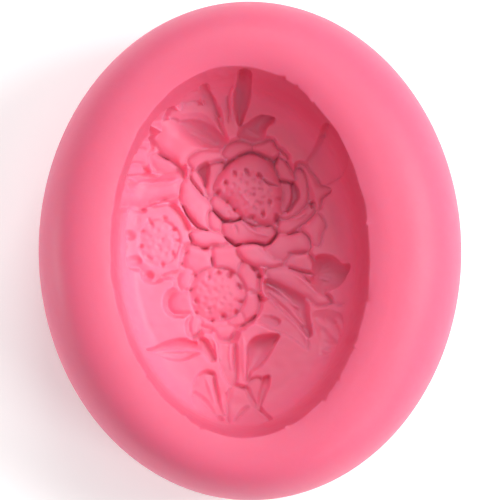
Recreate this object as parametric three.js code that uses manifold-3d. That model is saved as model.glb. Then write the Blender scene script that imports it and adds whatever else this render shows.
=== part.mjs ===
// Oval soap mould: one casting of soft silicone rubber. A pebble-shaped block stands on a
// flat base, and its top holds an oval cavity with sloping walls. The cavity's floor carries
// a bouquet in negative: three round blooms and the leaves around them, all cut below the floor.
// Millimetres, +Z up. X runs across the oval and Y along it. The origin is the base's centre.

import * as THREE from 'three';
import { mergeVertices } from 'three/addons/utils/BufferGeometryUtils.js';
import Module from 'manifold-3d';

// The block. Reaches are along Y, the long axis, and the block is squeezed evenly across X.
const bodyLength = 95;
const bodyWidth = 80.6;
const bodyHeight = 34;
const topRoundReach = 8;
const topRoundHeight = 12;
const baseRoundReach = 6;
const baseRoundHeight = 10;

// The cavity, a little off the block's centre and turned. Its reaches are along its long axis.
const cavityLength = 69;
const cavityWidth = 48.1;
const cavityX = -2.5;
const cavityY = -1.1;
const cavityTurn = 2.5; // degrees, anticlockwise from above
const lipDrop = 0.9; // the opening's sharp edge lies this far under the top
const lipReach = 3.6; // how far the gentle slope around the opening runs
const floorZ = 12.6; // the floor at its middle
const filletZ = 13.5; // the floor where the wall's fillet starts
const filletReach = 26.8; // from the middle to the start of the fillet
const wallFootZ = 20; // the fillet's end, where the wall starts
const wallFootReach = 32.4;

// How finely the round shapes are drawn
const bodySides = 60;
const cavitySides = 52;
const roundSteps = 6;
const hollowSides = 10;
const hollowRings = 6;

const silicone = new THREE.MeshStandardMaterial({ color: 0xfd7899, roughness: 0.55, metalness: 0 });

const wasm = await Module();
wasm.setup();

// A closed three.js geometry as a solid for cutting and joining.
function toSolid(geometry) {
  const bare = geometry.clone();
  bare.deleteAttribute('normal');
  bare.deleteAttribute('uv');
  const merged = mergeVertices(bare, 1e-4);
  return new wasm.Manifold(
    new wasm.Mesh({
      numProp: 3,
      vertProperties: new Float32Array(merged.attributes.position.array),
      triVerts: new Uint32Array(merged.index.array),
    }),
  );
}

// A solid back as a three.js geometry.
function toGeometry(solid) {
  const mesh = solid.getMesh();
  const geometry = new THREE.BufferGeometry();
  geometry.setAttribute('position', new THREE.BufferAttribute(mesh.vertProperties, 3));
  geometry.setIndex(new THREE.BufferAttribute(mesh.triVerts, 1));
  geometry.computeVertexNormals();
  return geometry;
}

// A quarter of an ellipse about (centreR, centreZ), as profile points from one angle to the next.
function quarter(centreR, centreZ, reach, height, startAngle) {
  return Array.from({ length: roundSteps + 1 }, (_, step) => {
    const angle = startAngle + (Math.PI / 2) * (step / roundSteps);
    return new THREE.Vector2(
      centreR + reach * Math.cos(angle),
      centreZ + height * Math.sin(angle),
    );
  });
}

// A profile of reach against height, from the bottom of the axis to its top, turned about +Z
// and squeezed across X.
function ovalTurning(profile, sides, squeeze) {
  const turned = new THREE.LatheGeometry(profile, sides);
  turned.rotateX(Math.PI / 2);
  turned.scale(squeeze, 1, 1);
  return turned;
}

// The block: flat base, rounded foot, upright side, big round edge, flat crown.
function block() {
  const widest = bodyLength / 2;
  const profile = [
    new THREE.Vector2(0, 0),
    ...quarter(widest - baseRoundReach, baseRoundHeight, baseRoundReach, baseRoundHeight, -Math.PI / 2),
    ...quarter(widest - topRoundReach, bodyHeight - topRoundHeight, topRoundReach, topRoundHeight, 0),
    new THREE.Vector2(0, bodyHeight),
  ];
  return ovalTurning(profile, bodySides, bodyWidth / bodyLength);
}

// A shape drawn about the cavity's own middle and axes, moved to where the cavity is.
function inCavity(geometry) {
  geometry.rotateZ(THREE.MathUtils.degToRad(cavityTurn));
  geometry.translate(cavityX, cavityY, 0);
  return geometry;
}

// The space that the soap fills down to the plain floor, run on past the top to cut it open.
function cavity() {
  const mouth = cavityLength / 2;
  const lipZ = bodyHeight - lipDrop;
  const outReach = mouth + 2 * lipReach;
  const outZ = lipZ + 2 * lipDrop;
  const profile = [
    new THREE.Vector2(0, floorZ),
    ...quarter(filletReach, wallFootZ, wallFootReach - filletReach, wallFootZ - filletZ, -Math.PI / 2),
    new THREE.Vector2(mouth, lipZ),
    new THREE.Vector2(outReach, outZ),
    new THREE.Vector2(0, outZ),
  ];
  return inCavity(ovalTurning(profile, cavitySides, cavityWidth / cavityLength));
}

// The plain floor's height at a place in the cavity, up to the foot of the wall.
function floorAt(x, y) {
  const reach = Math.hypot((x * cavityLength) / cavityWidth, y);
  if (reach < filletReach) return floorZ + ((filletZ - floorZ) * reach) / filletReach;
  const along = (reach - filletReach) / (wallFootReach - filletReach);
  return wallFootZ - (wallFootZ - filletZ) * Math.sqrt(1 - along * along);
}

// An egg-shaped hollow in the floor. Its long axis has a heading in degrees from +X.
function hollow(x, y, length, width, depth, heading) {
  const egg = new THREE.SphereGeometry(1, hollowSides, hollowRings);
  egg.rotateX(Math.PI / 2);
  egg.scale(length / 2, width / 2, depth);
  egg.rotateZ(THREE.MathUtils.degToRad(heading));
  egg.translate(x, y, floorAt(x, y));
  return inCavity(egg);
}

// A bloom: a round hollow for the seed head, in a ring of petals that point outwards.
function bloom({ x, y, headRadius, ringRadius, petals, petalLength, petalWidth, depth }) {
  const head = hollow(x, y, 2 * headRadius, 2 * headRadius, depth, 0);
  const ring = Array.from({ length: petals }, (_, index) => {
    const heading = (360 / petals) * index;
    const angle = THREE.MathUtils.degToRad(heading);
    return hollow(
      x + ringRadius * Math.cos(angle),
      y + ringRadius * Math.sin(angle),
      petalLength,
      petalWidth,
      depth * 0.8,
      heading,
    );
  });
  return [head, ...ring];
}

const blooms = [
  { x: 4, y: 12.5, headRadius: 6.4, ringRadius: 8.8, petals: 9, petalLength: 9, petalWidth: 6.2, depth: 5.4 },
  { x: -4.4, y: -6.4, headRadius: 4.8, ringRadius: 6, petals: 9, petalLength: 6, petalWidth: 4.2, depth: 4.6 },
  { x: -15.6, y: 4.4, headRadius: 3.6, ringRadius: 4.2, petals: 8, petalLength: 4.6, petalWidth: 3.4, depth: 3.6 },
];

// Leaves and loose petals around the blooms: x, y, length, width, depth and heading of each.
const leaves = [
  [2.2, 29.2, 9, 2.6, 3, 88],
  [-3.2, 29.2, 8, 2.2, 2.6, 108],
  [-6, 24.4, 9.5, 4.4, 3, -28],
  [5.4, 25, 5.6, 3, 2.6, 40],
  [-11.4, 22.6, 9, 4.6, 2.8, -55],
  [-14.4, 14.4, 10, 4.6, 2.8, 5],
  [12.6, -0.9, 6.6, 4, 3, 0],
  [17.6, -2.8, 6, 5, 3, -10],
  [10.6, -4.8, 11.6, 3.2, 3, -27],
  [9.6, -9.4, 13, 4.2, 3.4, -52],
  [5.4, -12.4, 4.6, 3.2, 2.8, -15],
  [3.6, -17.8, 8.6, 3.6, 3.2, 66],
  [3.8, -25.2, 5.4, 2.2, 2.6, 80],
  [-0.2, -27.2, 8, 4.4, 2.6, -65],
  [-12.4, -17.4, 9.6, 3.6, 2.8, -2],
  [-2.4, -19.6, 11, 2.2, 2.6, 88],
  [-6.4, -24.8, 9, 3.4, 2.6, -58],
];

function mouldBody() {
  const hollows = [...blooms.flatMap(bloom), ...leaves.map((leaf) => hollow(...leaf))];
  const room = hollows.reduce((joined, egg) => joined.add(toSolid(egg)), toSolid(cavity()));
  const mesh = new THREE.Mesh(toGeometry(toSolid(block()).subtract(room)), silicone);
  mesh.name = 'mould_body';
  return mesh;
}

const mould = new THREE.Group();
mould.add(mouldBody());

export default mould;
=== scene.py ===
"""An oval silicone soap mould with a bouquet pressed into its cavity, in Blender.

The rubber is one skin: the relief on the cavity's floor, the walls, the crowned rim, the
rounded outside and the flat base. Plans and sizes are in millimetres, and meshes are in metres.
"""

import logging
import math
from dataclasses import dataclass, field, replace
from enum import Enum
from typing import ClassVar

import bpy
import numpy as np
from mathutils import Matrix, Vector


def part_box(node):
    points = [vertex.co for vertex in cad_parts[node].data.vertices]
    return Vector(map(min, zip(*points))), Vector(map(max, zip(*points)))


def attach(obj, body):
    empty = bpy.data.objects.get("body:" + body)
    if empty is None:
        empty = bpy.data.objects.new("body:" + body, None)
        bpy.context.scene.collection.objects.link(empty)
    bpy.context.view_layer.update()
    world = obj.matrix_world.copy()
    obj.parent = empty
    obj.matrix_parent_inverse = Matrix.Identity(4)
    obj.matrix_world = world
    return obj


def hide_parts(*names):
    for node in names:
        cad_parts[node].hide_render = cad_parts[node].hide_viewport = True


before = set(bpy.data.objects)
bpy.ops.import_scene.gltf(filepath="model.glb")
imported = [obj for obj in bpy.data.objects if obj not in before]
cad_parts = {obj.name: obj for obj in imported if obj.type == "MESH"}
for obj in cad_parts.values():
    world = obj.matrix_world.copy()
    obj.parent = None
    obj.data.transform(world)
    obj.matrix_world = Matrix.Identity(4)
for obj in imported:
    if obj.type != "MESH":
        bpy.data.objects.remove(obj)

logging.basicConfig(level=logging.INFO, format="%(message)s")
log = logging.getLogger("soap_mould")

MM = 0.001
TINY = 1e-9
BODY = "root"
NODE = "mould_body"
Plan = tuple[float, float]
Array = np.ndarray


def smooth_max(a: Array, b: Array, blend: float) -> Array:
    """The larger of two fields, with the line where they cross rounded.

    Args:
        a: the first field.
        b: the second field.
        blend: the difference, in millimetres, under which the two melt together.

    Returns:
        The joined field.
    """
    near = np.maximum(blend - np.abs(a - b), 0.0) / blend
    return np.maximum(a, b) + near * near * blend * 0.25


def ease(x: Array) -> Array:
    """A smooth step from 0 to 1 as x goes from 0 to 1."""
    x = np.clip(x, 0.0, 1.0)
    return x * x * (3.0 - 2.0 * x)


def hills(x: Array, y: Array, wavelength: float, seed: int) -> Array:
    """Gentle random hills between about -1 and 1, the same each run.

    Args:
        x: places along X, in millimetres.
        y: places along Y.
        wavelength: the usual distance between hills.
        seed: which set of hills.

    Returns:
        The height at each place.
    """
    draw = np.random.default_rng(seed)
    total = np.zeros_like(x)
    waves = 9
    shortest, longest = 0.7, 1.5
    for _ in range(waves):
        heading, phase = draw.uniform(0.0, 2.0 * math.pi, 2)
        pace = 2.0 * math.pi / (wavelength * draw.uniform(shortest, longest))
        total += np.sin(pace * (x * math.cos(heading) + y * math.sin(heading)) + phase)
    return total / math.sqrt(waves)


# --- The bouquet ---------------------------------------------------------------------------

def smooth_path(points: tuple[Plan, ...], closed: bool, steps: int = 5) -> Array:
    """A smooth line through some points.

    Args:
        points: the points, in order.
        closed: whether the line returns to its start.
        steps: how many steps to take from each point to the next.

    Returns:
        The line's points, one a row.
    """
    knots = np.array(points, dtype=float)
    if closed:
        knots = np.vstack([knots[-1:], knots, knots[:2]])
    else:
        knots = np.vstack([2.0 * knots[0] - knots[1], knots, 2.0 * knots[-1] - knots[-2]])
    line = []
    for before, start, end, after in zip(knots, knots[1:], knots[2:], knots[3:]):
        for step in range(steps):
            t = step / steps
            line.append(0.5 * (
                2.0 * start + (end - before) * t
                + (2.0 * before - 5.0 * start + 4.0 * end - after) * t**2
                + (3.0 * start - before - 3.0 * end + after) * t**3
            ))
    if not closed:
        line.append(knots[-2])
    return np.array(line)


def to_line(line: Array, x: Array, y: Array, closed: bool) -> tuple[Array, Array]:
    """The distance from places to a line.

    Args:
        line: the line's points.
        x: places along X.
        y: places along Y.
        closed: whether the line returns to its start.

    Returns:
        The distance, less than zero outside a closed line, and how far along the nearest point is,
        from 0 to 1.
    """
    ends = np.roll(line, -1, axis=0)
    if not closed:
        line, ends = line[:-1], ends[:-1]
    nearest = np.full(x.shape, np.inf)
    along = np.zeros(x.shape)
    inside = np.zeros(x.shape, dtype=bool)
    for number, ((from_x, from_y), (end_x, end_y)) in enumerate(zip(line, ends)):
        step_x, step_y = end_x - from_x, end_y - from_y
        share = (x - from_x) * step_x + (y - from_y) * step_y
        share = np.clip(share / max(step_x**2 + step_y**2, TINY), 0.0, 1.0)
        off = np.hypot(x - from_x - share * step_x, y - from_y - share * step_y)
        along = np.where(off < nearest, (number + share) / len(line), along)
        nearest = np.minimum(nearest, off)
        if closed and step_y:
            crossing = from_x + (y - from_y) * step_x / step_y
            inside ^= ((from_y > y) != (end_y > y)) & (x < crossing)
    return np.where(inside, nearest, -nearest) if closed else nearest, along


def reach_inside(line: Array, x: Array, y: Array) -> Array:
    """How far inside a closed line places are, without a fold along its middle.

    It adds up 1 / distance**4 along the line, which beside a long straight edge comes to
    0.5 pi / distance**3.

    Args:
        line: the line's points.
        x: places along X.
        y: places along Y.

    Returns:
        A distance that is true near the line and a little short of it farther in.
    """
    ends = np.roll(line, -1, axis=0)
    middle, length = 0.5 * (line + ends), np.hypot(*(ends - line).T)
    least_gap = 0.02
    gap = (x[:, None] - middle[:, 0]) ** 2 + (y[:, None] - middle[:, 1]) ** 2 + least_gap
    return ((length / gap**2).sum(axis=1) / (0.5 * math.pi)) ** (-1.0 / 3.0)


class Form(Enum):
    """What a petal or leaf of the soap leaves in the rubber."""

    HOLLOW = "hollow"
    PILLOW = "pillow"


@dataclass(frozen=True)
class Lobe:
    """A petal or leaf with its own outline, in the rubber.

    Attributes:
        outline: points around it, in the cavity's plan.
        deep: how deep its middle lies.
        lip: how much deeper its edge lies; negative where the middle is the deepest.
        lip_width: how far in from the edge that reaches.
        tilt: how much deeper it gets for each millimetre along X and along Y.
        steep: the slope of its outer side.
        form: whether it is a plain hollow or a pillow that swells up between deep creases.
        MARGIN: how far outside its outline it can still change places.
        BED: how far a pillow's bed reaches past its outline.
        SPILL: how far the pillow itself does.
        DOME: how high a pillow's dome rises, as a share of its radius.
        SHOULDER: the part of that height that lies below its middle surface.
        BROAD: the largest radius that a dome has.
        HEM: the width over which a pillow comes up out of its bed.
    """

    outline: tuple[Plan, ...]
    deep: float
    lip: float = 0.6
    lip_width: float = 1.1
    tilt: Plan = (0.0, 0.0)
    steep: float = 4.5
    form: Form = Form.HOLLOW

    MARGIN: ClassVar[float] = 1.6
    BED: ClassVar[float] = 0.25
    SPILL: ClassVar[float] = 0.3
    DOME: ClassVar[float] = 0.42
    SHOULDER: ClassVar[float] = 0.3
    BROAD: ClassVar[float] = 3.2
    HEM: ClassVar[float] = 0.3

    def near(self, x: Array, y: Array) -> Array:
        """Which places lie close enough to be changed.

        Args:
            x: places along X.
            y: places along Y.

        Returns:
            Yes or no for each place.
        """
        line = smooth_path(self.outline, True)
        low, high = line.min(axis=0) - self.MARGIN, line.max(axis=0) + self.MARGIN
        return (x > low[0]) & (x < high[0]) & (y > low[1]) & (y < high[1])

    def seat(self, x: Array, y: Array) -> tuple[Array, Array, Array]:
        """Where places lie in it.

        Args:
            x: places along X.
            y: places along Y.

        Returns:
            How far in from its edge each place is, less than zero outside; the same without a
            fold along the middle, zero outside; and how deep its middle surface runs there.
        """
        line = smooth_path(self.outline, True)
        off, _ = to_line(line, x, y, True)
        reach = np.where(off > 0.0, reach_inside(line, x, y), 0.0)
        middle = line.mean(axis=0)
        depth = self.deep + self.tilt[0] * (x - middle[0]) + self.tilt[1] * (y - middle[1])
        return off, reach, depth

    def press(
        self, total: Array, x: Array, y: Array, blend: float, strength: float, softness: float
    ) -> Array:
        """The relief with this hollow, or this pillow's bed, pressed into it as well.

        Args:
            total: the relief so far.
            x: its places along X.
            y: its places along Y.
            blend: how softly it melts into what is there.
            strength: how deep it is pressed, as a share of its own depth.
            softness: how far its edges are rounded off.

        Returns:
            The new relief.
        """
        near = self.near(x, y)
        if not near.any():
            return total
        off, reach, depth = self.seat(x[near], y[near])
        if self.form is Form.PILLOW:
            off = off + self.BED
            depth = depth + self.lip
        else:
            share = np.clip(1.0 - reach / (self.lip_width * softness), 0.0, 1.0)
            depth = depth + self.lip * share**2
        depth = strength * depth + self.steep / softness * np.minimum(off, 0.0)
        total = total.copy()
        total[near] = smooth_max(total[near], depth, blend * softness)
        return total

    def swell(self, total: Array, x: Array, y: Array, strength: float, softness: float) -> Array:
        """The relief with this pillow's dome raised in the hollow that `press` made for it.

        Args:
            total: the relief so far.
            x: its places along X.
            y: its places along Y.
            strength: how deep it lies, as a share of its own depth.
            softness: how far its edges are rounded off.

        Returns:
            The new relief.
        """
        near = self.near(x, y)
        if not near.any():
            return total
        off, reach, depth = self.seat(x[near], y[near])
        off = off + self.SPILL
        radius = min(max(float(reach.max()), 0.5), self.BROAD)
        width = min(self.lip_width * softness, radius)
        crease = self.lip * np.clip(1.0 - off / width, 0.0, 1.0) ** 2
        fall = np.clip(1.0 - reach / radius, 0.0, 1.0) ** 2
        dome = self.DOME * radius * (fall - self.SHOULDER)
        cover = ease(0.5 + off / (self.HEM * softness))
        total = total.copy()
        total[near] += cover * (strength * (depth + crease + dome) - total[near])
        return total


@dataclass(frozen=True)
class Line:
    """A narrow crease between petals, or a raised line.

    Attributes:
        path: points along it, in the cavity's plan.
        half_width: half its width.
        deep: how much deeper its middle lies than what it crosses; negative where it is raised.
        TIP: how wide its ends are, as a share of its middle.
        FULLNESS: how soon it widens from its ends; a smaller power is sooner.
    """

    path: tuple[Plan, ...]
    half_width: float
    deep: float

    TIP: ClassVar[float] = 0.2
    FULLNESS: ClassVar[float] = 0.6

    def extra(self, x: Array, y: Array) -> Array:
        """How much deeper it makes places.

        Args:
            x: places along X.
            y: places along Y.

        Returns:
            What it adds to the depth of each.
        """
        off, along = to_line(smooth_path(self.path, False), x, y, False)
        swell = np.sin(math.pi * np.clip(along, 0.01, 0.99)) ** self.FULLNESS
        thin = self.half_width * (self.TIP + (1.0 - self.TIP) * swell)
        return self.deep * np.maximum(1.0 - (off / thin) ** 2, 0.0)


@dataclass(frozen=True)
class Pit:
    """A small hollow among the seeds or between petals.

    Attributes:
        centre: its middle, in the cavity's plan.
        size: half its width and half its length.
        deep: how deep it is.
        lean: how far its length is turned from +Y, in degrees anticlockwise.
        TIGHT: how much of its size it fills; 1 is all of it, and less is wider.
        ROUND: how gently its sides run out.
    """

    centre: Plan
    size: Plan
    deep: float
    lean: float = 0.0

    TIGHT: ClassVar[float] = 0.7
    ROUND: ClassVar[float] = 1.5

    def extra(self, x: Array, y: Array) -> Array:
        """How much deeper it makes places.

        Args:
            x: places along X.
            y: places along Y.

        Returns:
            What it adds to the depth of each.
        """
        cos, sin = math.cos(math.radians(self.lean)), math.sin(math.radians(self.lean))
        off_x, off_y = x - self.centre[0], y - self.centre[1]
        across = (off_x * cos + off_y * sin) / self.size[0]
        along = (off_y * cos - off_x * sin) / self.size[1]
        bowl = np.maximum(1.0 - self.TIGHT * (across**2 + along**2), 0.0)
        return self.deep * bowl**self.ROUND


@dataclass(frozen=True)
class SeedHead:
    """Where the small round seeds of a bloom sit.

    Attributes:
        name: the bloom it belongs to.
        centre: its middle, in the cavity's plan.
        radius: how far the seeds spread.
        seeds: how many there are.
        seed_radius: the radius of one.
        seed_deep: how deep one presses.
    """

    name: str
    centre: Plan
    radius: float
    seeds: int
    seed_radius: float
    seed_deep: float


class Cluster:
    """A group of shapes that belong together.

    Attributes:
        strength: how deep the whole group is pressed, as a share of its own depths.
        softness: how far its edges are rounded off; 1 is crisp.
    """

    strength: float = 1.0
    softness: float = 1.0

    def lobes(self) -> list[Lobe]:
        """The petals and leaves."""
        return []

    def lines(self) -> list[Line]:
        """The creases and raised lines."""
        return []

    def pits(self) -> list[Pit]:
        """The small hollows."""
        return []


@dataclass(frozen=True)
class GreatBloom(Cluster):
    """The large many-petalled bloom in the upper half of the cavity.

    Attributes:
        seeds: the seeds in its head.
        softness: how far its edges are rounded off.
        inner_ring: how far from the head's middle petals start to lie shallower.
        rise: by how much they do, for each millimetre farther out.
        crease: how much deeper a petal's edge lies than its middle surface.
        crease_ring: how far out that starts to lessen.
        crease_loss: by how much it does, for each millimetre farther out.
        crease_width: how far in from the edge the crease reaches.
        lean: how much shallower a petal gets for each millimetre along it, outwards.
        petal_steep: the slope of a petal's outer side.
        gap_steep: the slope beyond which a lobe is a dark gap and not a petal.
    """

    seeds: SeedHead = SeedHead("great_bloom_seeds", (3.2, 12.4), 5.0, 34, 0.55, 0.34)
    softness: float = 1.2
    inner_ring: float = 7.0
    rise: float = 0.34
    crease: float = 1.0
    crease_ring: float = 6.0
    crease_loss: float = 0.05
    crease_width: float = 0.5
    lean: float = 0.1
    petal_steep: float = 7.0
    gap_steep: float = 5.0

    def lobes(self) -> list[Lobe]:
        """The petals and the gaps between them, the farthest out first, and then the head."""
        head = Lobe((
            (-1.5, 17.5), (-0.4, 18.9), (0.8, 19.6), (2.0, 20.3), (3.8, 20.8), (5.8, 20.2), (7.1, 19.1),
            (8.0, 17.4), (9.0, 15.0), (9.3, 12.6), (9.1, 10.4), (8.8, 8.2), (7.6, 6.8), (5.6, 7.0),
            (3.6, 7.6), (1.8, 8.6), (0.4, 10.2), (-1.0, 11.9), (-2.9, 12.9), (-3.4, 14.4), (-2.6, 16.2),
        ), 2.9, 0.9, 1.0, (-0.03, 0.02))
        top = [
            Lobe(((-1.4, 20.4), (-0.9, 21.6), (0.1, 22.5), (1.8, 22.9), (3.4, 22.4), (4.2, 21.7),
                  (3.8, 21.1), (1.9, 20.3), (0.2, 19.6)), 3.5),
            Lobe(((4.3, 21.9), (6.2, 22.4), (7.9, 22.8), (8.8, 21.4), (9.9, 20.5), (10.8, 19.2),
                  (9.2, 19.2), (7.8, 19.8), (6.0, 20.6), (4.5, 21.1)), 3.4),
            Lobe(((7.0, 19.4), (8.0, 18.6), (8.7, 16.4), (9.0, 14.9), (8.0, 14.6), (7.4, 16.2),
                  (7.0, 17.8)), 4.9, 0.5, 0.8),
        ]
        left = [
            Lobe(((-8.3, 19.5), (-7.3, 20.5), (-5.7, 21.3), (-3.6, 21.3), (-1.6, 21.0), (-1.4, 20.0),
                  (-2.6, 19.4), (-4.1, 18.7), (-5.9, 18.1), (-7.2, 17.7)), 3.4),
            Lobe(((-7.6, 17.4), (-6.5, 16.9), (-5.6, 15.0), (-5.0, 13.2), (-5.4, 12.9), (-6.7, 14.6),
                  (-7.7, 16.0)), 4.1, 0.3, 0.6),
            Lobe(((-4.5, 18.4), (-2.6, 19.1), (-1.3, 18.5), (-2.3, 16.8), (-3.2, 14.8), (-3.9, 12.8),
                  (-4.8, 13.4), (-4.6, 15.6), (-4.3, 17.0)), 4.6, 0.5, 0.9),
            Lobe(((-9.6, 15.2), (-8.3, 15.8), (-7.2, 14.4), (-5.5, 12.5), (-4.3, 10.9), (-4.2, 9.4),
                  (-4.8, 8.0), (-4.9, 6.6), (-5.3, 6.0), (-6.9, 6.6), (-8.1, 8.0), (-9.0, 9.4),
                  (-9.7, 10.9), (-10.1, 12.2), (-9.9, 14.0)), 3.1, 1.4, 1.9),
            Lobe(((-4.5, 9.2), (-3.6, 9.6), (-2.8, 8.6), (-2.2, 7.6), (-2.1, 6.2), (-3.2, 5.8),
                  (-4.6, 6.6)), 3.9),
            Lobe(((-8.2, 5.6), (-5.1, 5.9), (-3.0, 5.2), (-1.7, 4.2), (-1.7, 3.4), (-2.4, 2.9),
                  (-4.3, 3.0), (-5.8, 2.8), (-7.1, 3.3), (-8.4, 4.4)), 3.3, 0.9, 1.3),
            Lobe(((-6.2, 17.7), (-4.7, 18.6), (-4.5, 17.6), (-4.8, 15.8), (-5.0, 14.6), (-5.4, 16.2)),
                 6.6, 0.0, 1.0, (0.0, 0.0), 7.0),
        ]
        below = [
            Lobe(((-4.0, 11.6), (-3.2, 12.4), (-1.4, 11.6), (-0.1, 10.3), (0.9, 9.0), (1.5, 8.4),
                  (0.6, 8.0), (-0.6, 8.0), (-1.8, 8.4), (-2.9, 9.4), (-3.7, 10.3)), 4.4, 1.1, 1.2),
            Lobe(((-2.0, 6.9), (-1.0, 7.7), (1.4, 7.7), (2.9, 6.9), (4.0, 6.3), (5.5, 6.4), (7.2, 6.2),
                  (8.2, 4.9), (7.8, 3.9), (6.2, 2.9), (3.8, 3.4), (1.7, 3.3), (0.4, 3.1), (-1.3, 4.2),
                  (-2.0, 5.6)), 4.0, 1.2, 1.5),
            Lobe(((0.9, 2.7), (3.8, 2.7), (4.9, 2.1), (5.9, 0.9), (7.5, -0.4), (9.0, -1.0), (7.6, -1.7),
                  (5.2, -1.5), (3.2, -0.9), (1.7, 0.2), (0.9, 1.3)), 3.0, 0.7),
            Lobe(((6.2, 2.6), (8.3, 4.2), (10.6, 4.3), (13.2, 4.6), (14.5, 3.0), (14.2, 1.0),
                  (12.6, 0.7), (11.0, 0.5), (9.4, -0.6), (7.5, -0.3), (5.8, 1.1)), 3.7, 0.8, 1.4),
        ]
        right = [
            Lobe(((8.9, 19.2), (10.2, 18.9), (11.2, 17.4), (12.1, 15.6), (12.0, 14.6), (10.6, 15.0),
                  (9.2, 15.4), (8.7, 16.6)), 4.0, 0.9, 1.2),
            Lobe(((9.3, 14.9), (11.0, 14.6), (11.6, 12.8), (11.3, 10.9), (10.4, 9.4), (9.2, 8.8),
                  (9.5, 10.4), (9.9, 12.2), (9.3, 13.7)), 4.7, 0.5, 0.8),
            Lobe(((12.4, 16.8), (13.4, 17.2), (14.3, 15.5), (14.5, 12.6), (14.1, 10.3), (12.6, 8.7),
                  (10.2, 7.5), (9.2, 8.3), (10.6, 9.3), (11.9, 10.5), (12.7, 12.3), (12.4, 14.6)),
                 4.2, 0.9, 1.1),
            Lobe(((12.2, 17.0), (13.2, 17.9), (14.3, 17.6), (15.3, 16.0), (16.2, 14.6), (16.9, 13.3),
                  (18.7, 12.5), (17.3, 11.3), (16.7, 9.4), (15.6, 9.6), (14.9, 12.6), (14.4, 15.2),
                  (13.5, 17.0)), 3.2, 0.6, 0.9),
            Lobe(((9.0, 6.9), (10.5, 7.5), (12.5, 8.4), (14.3, 9.6), (15.7, 10.3), (15.5, 8.4),
                  (14.1, 6.9), (12.0, 5.6), (10.4, 4.8), (8.8, 5.2)), 4.1, 0.9, 1.2),
            Lobe(((13.5, 5.8), (15.0, 7.1), (16.3, 7.9), (17.6, 6.0), (16.9, 4.2), (16.3, 1.9),
                  (14.8, 2.4), (13.9, 3.8)), 3.0, 0.7, 1.2),
            Lobe(((11.8, 14.5), (12.2, 13.6), (12.6, 12.3), (12.0, 10.9), (10.5, 9.1), (11.4, 10.9),
                  (11.7, 12.4), (11.6, 13.7)), 6.8, 0.0, 1.0, (0.0, 0.0), 7.0),
        ]
        petals = sorted((*top, *left, *below, *right), key=self._far, reverse=True)
        return [*(self._seated(petal) for petal in petals), replace(head, form=Form.PILLOW)]

    def _far(self, petal: Lobe) -> float:
        """How far a petal lies from the middle of the bloom."""
        middle = np.mean(petal.outline, axis=0)
        return math.hypot(middle[0] - self.seeds.centre[0], middle[1] - self.seeds.centre[1])

    def _seated(self, petal: Lobe) -> Lobe:
        """A petal as a pillow that lies shallower the farther out it is.

        Args:
            petal: the petal, or a gap, which stays a plain hollow.

        Returns:
            The lobe to press.
        """
        if petal.steep > self.gap_steep:
            return petal
        middle = np.mean(petal.outline, axis=0)
        out_x, out_y = middle[0] - self.seeds.centre[0], middle[1] - self.seeds.centre[1]
        far = self._far(petal)
        return replace(
            petal,
            form=Form.PILLOW,
            deep=petal.deep - self.rise * max(far - self.inner_ring, 0.0),
            lip=self.crease - self.crease_loss * max(far - self.crease_ring, 0.0),
            lip_width=self.crease_width,
            tilt=(-self.lean * out_x / far, -self.lean * out_y / far),
            steep=self.petal_steep,
        )

    def lines(self) -> list[Line]:
        """The dark creases, then the raised lines."""
        return [
            Line(((-9.6, 10.8), (-9.0, 9.3), (-8.1, 7.9), (-6.9, 6.6), (-5.1, 5.9)), 0.5, 1.6),
            Line(((-8.0, 16.4), (-7.0, 14.5), (-5.6, 12.7)), 0.4, 0.9),
            Line(((-3.8, 9.9), (-2.8, 8.8), (-1.8, 7.9), (-0.1, 7.6), (1.6, 8.0)), 0.5, 2.2),
            Line(((-1.7, 4.5), (-0.6, 3.6), (0.6, 2.8), (3.8, 3.1), (6.1, 2.6), (7.4, 3.5), (8.3, 4.9)),
                 0.5, 2.0),
            Line(((0.3, 6.8), (0.8, 5.2)), 0.35, 0.6),
            Line(((9.2, 15.1), (10.4, 14.8), (12.0, 14.4)), 0.4, 1.4),
            Line(((1.9, 20.2), (3.8, 20.8), (5.6, 20.3), (6.9, 19.3)), 0.45, 1.2),
            Line(((-1.6, 17.5), (-0.5, 18.9), (0.7, 19.5)), 0.4, 1.1),
            Line(((10.4, 4.4), (11.9, 4.8), (13.2, 5.5)), 0.38, 1.8),
            Line(((14.9, 13.4), (15.3, 11.2), (15.2, 9.4)), 0.6, 1.2),
            Line(((10.4, 0.8), (12.7, 0.7), (14.2, 1.0)), 0.4, 0.8),
            Line(((-8.6, 4.9), (-8.2, 3.5)), 0.4, 1.3),
            Line(((-7.2, 3.2), (-5.9, 2.6), (-4.3, 2.9), (-2.0, 2.8)), 0.35, 1.0),
            Line(((6.0, 15.4), (7.2, 14.5), (8.7, 14.0)), 0.4, 1.3),
            Line(((8.9, 19.4), (9.4, 20.3)), 0.4, 1.0),
            Line(((1.6, 7.5), (4.0, 5.3), (6.5, 4.4)), 0.45, -0.45),
            Line(((0.8, 13.8), (2.4, 11.8), (4.1, 9.4)), 0.4, -0.35),
            Line(((10.8, 7.1), (12.6, 7.7), (14.1, 8.4)), 0.4, -0.4),
            Line(((4.2, 2.8), (5.8, 1.1), (7.5, -0.3)), 0.4, -0.5),
        ]

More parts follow.
